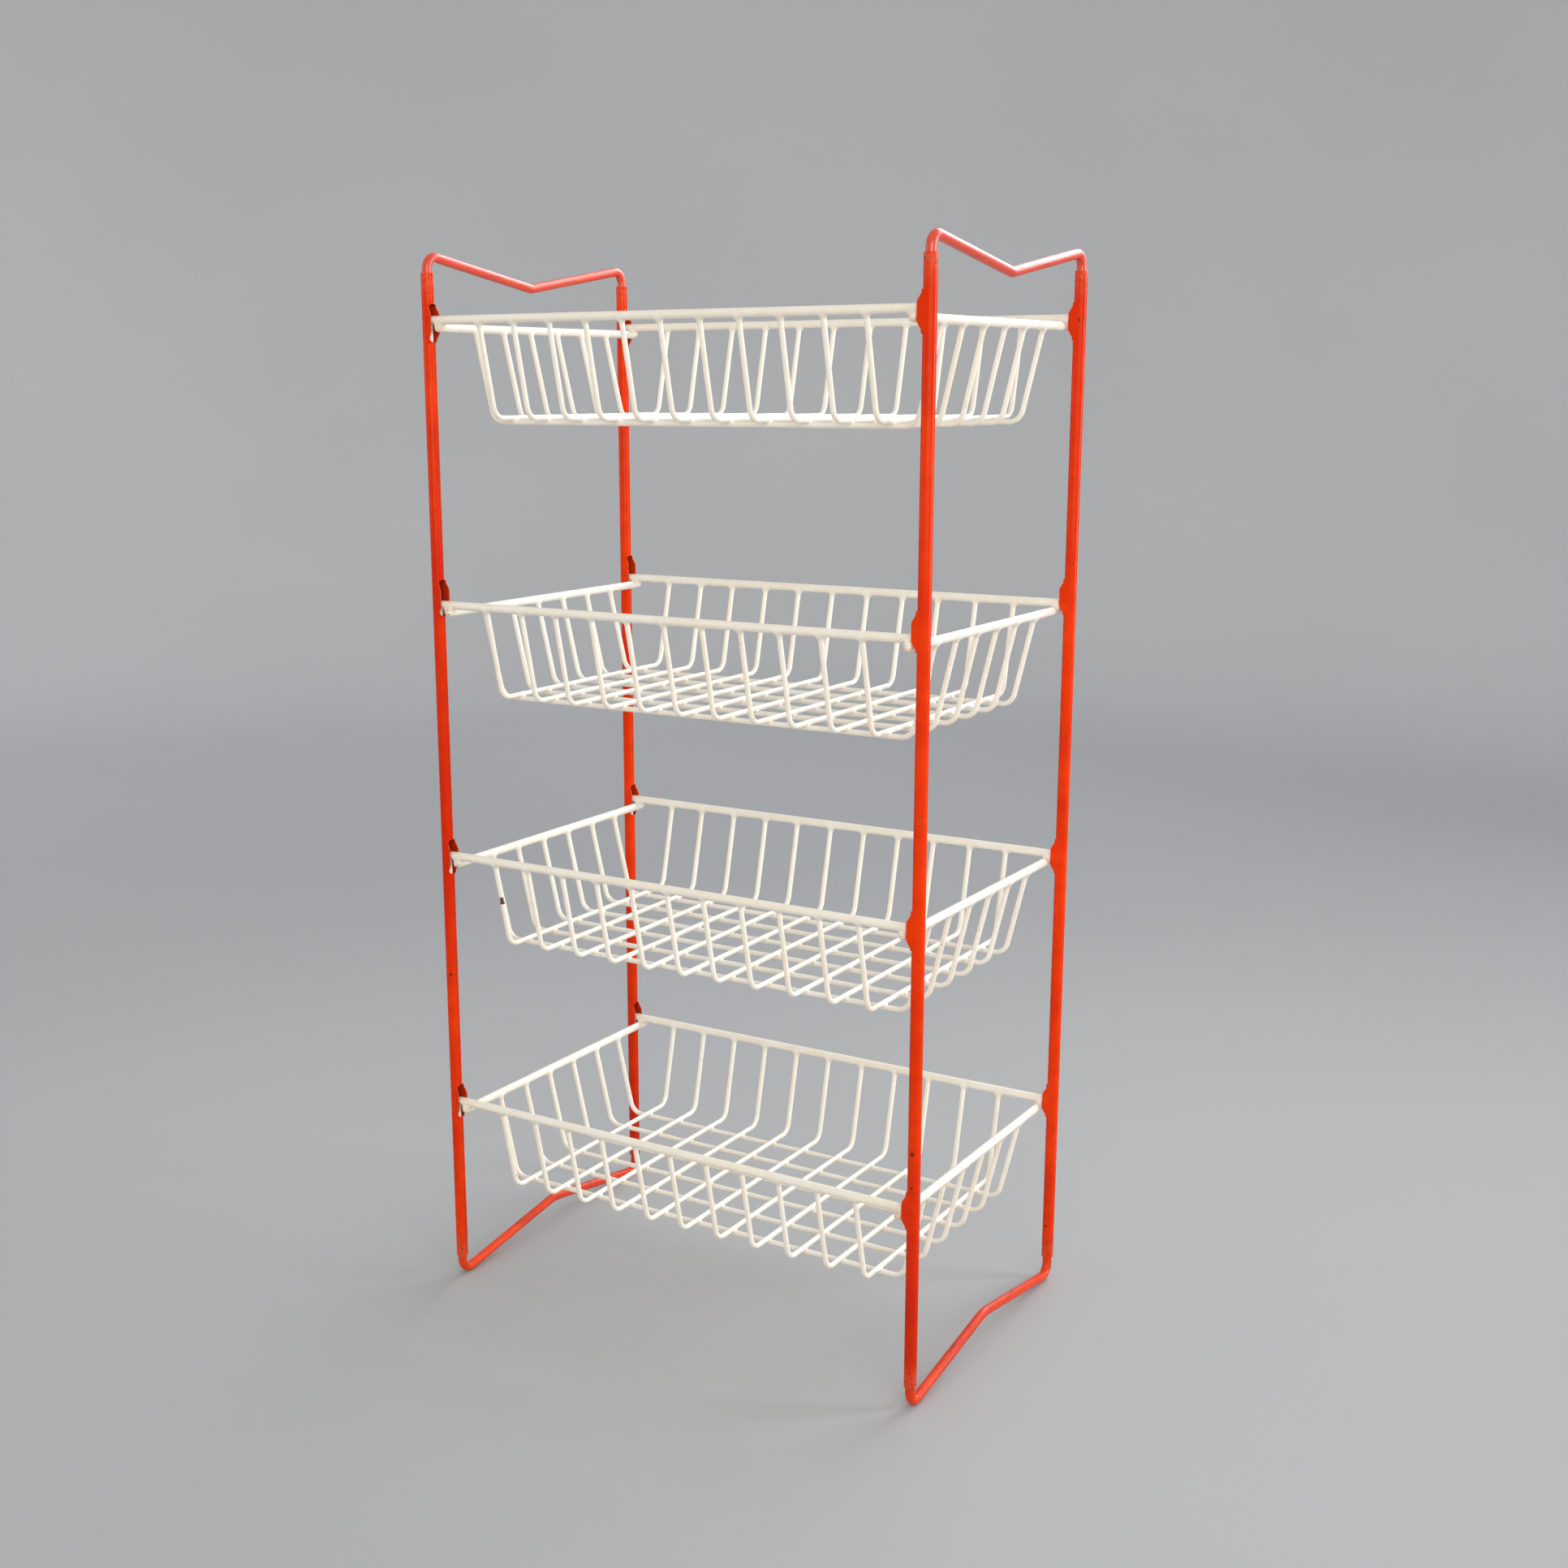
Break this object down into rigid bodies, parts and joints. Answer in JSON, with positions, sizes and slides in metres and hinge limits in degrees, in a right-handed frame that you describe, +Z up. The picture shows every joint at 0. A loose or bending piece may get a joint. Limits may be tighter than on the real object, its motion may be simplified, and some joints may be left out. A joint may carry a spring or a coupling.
{
  "type": "tiered wire basket rack",
  "caption": "Free-standing wire basket rack: tubular side frames with V-shaped handle and foot rods, and shallow wire baskets that hook into pockets in the posts and lift off.",
  "frame": {"origin": "on the floor, at the middle of the rack's plan", "axes": "+X from the left side frame to the right one, +Y from front to rear, +Z up"},
  "size_m": [0.409, 0.25, 0.7885],
  "materials": {
    "post_paint": "glossy orange-red paint on rolled sheet steel",
    "rod_paint": "glossy orange-red paint on bent round steel rod",
    "rim_coating": "satin cream-white plastic dip coating on steel rod",
    "wire_coating": "satin cream-white plastic dip coating on steel wire"
  },
  "bodies": {
    "frame": {"left_front_post": "post_paint", "left_rear_post": "post_paint", "right_front_post": "post_paint", "right_rear_post": "post_paint", "left_handle_rod": "rod_paint", "right_handle_rod": "rod_paint", "left_foot_rod": "rod_paint", "right_foot_rod": "rod_paint"},
    "bottom_basket": {"bottom_basket_front_rim": "rim_coating", "bottom_basket_rear_rim": "rim_coating", "bottom_basket_left_rim": "rim_coating", "bottom_basket_right_rim": "rim_coating", "bottom_basket_cross_wires": "wire_coating", "bottom_basket_long_wires": "wire_coating"},
    "lower_basket": {"lower_basket_front_rim": "rim_coating", "lower_basket_rear_rim": "rim_coating", "lower_basket_left_rim": "rim_coating", "lower_basket_right_rim": "rim_coating", "lower_basket_cross_wires": "wire_coating", "lower_basket_long_wires": "wire_coating"},
    "upper_basket": {"upper_basket_front_rim": "rim_coating", "upper_basket_rear_rim": "rim_coating", "upper_basket_left_rim": "rim_coating", "upper_basket_right_rim": "rim_coating", "upper_basket_cross_wires": "wire_coating", "upper_basket_long_wires": "wire_coating"},
    "top_basket": {"top_basket_front_rim": "rim_coating", "top_basket_rear_rim": "rim_coating", "top_basket_left_rim": "rim_coating", "top_basket_right_rim": "rim_coating", "top_basket_cross_wires": "wire_coating", "top_basket_long_wires": "wire_coating"}
  },
  "joints": [
    {"name": "bottom_basket_lift", "type": "slide", "parent": "frame", "child": "bottom_basket", "axis": [0, 0, 1], "range_m": [0, 0.008]},
    {"name": "lower_basket_lift", "type": "slide", "parent": "frame", "child": "lower_basket", "axis": [0, 0, 1], "range_m": [0, 0.008]},
    {"name": "upper_basket_lift", "type": "slide", "parent": "frame", "child": "upper_basket", "axis": [0, 0, 1], "range_m": [0, 0.008]},
    {"name": "top_basket_lift", "type": "slide", "parent": "frame", "child": "top_basket", "axis": [0, 0, 1], "range_m": [0, 0.008]}
  ]
}
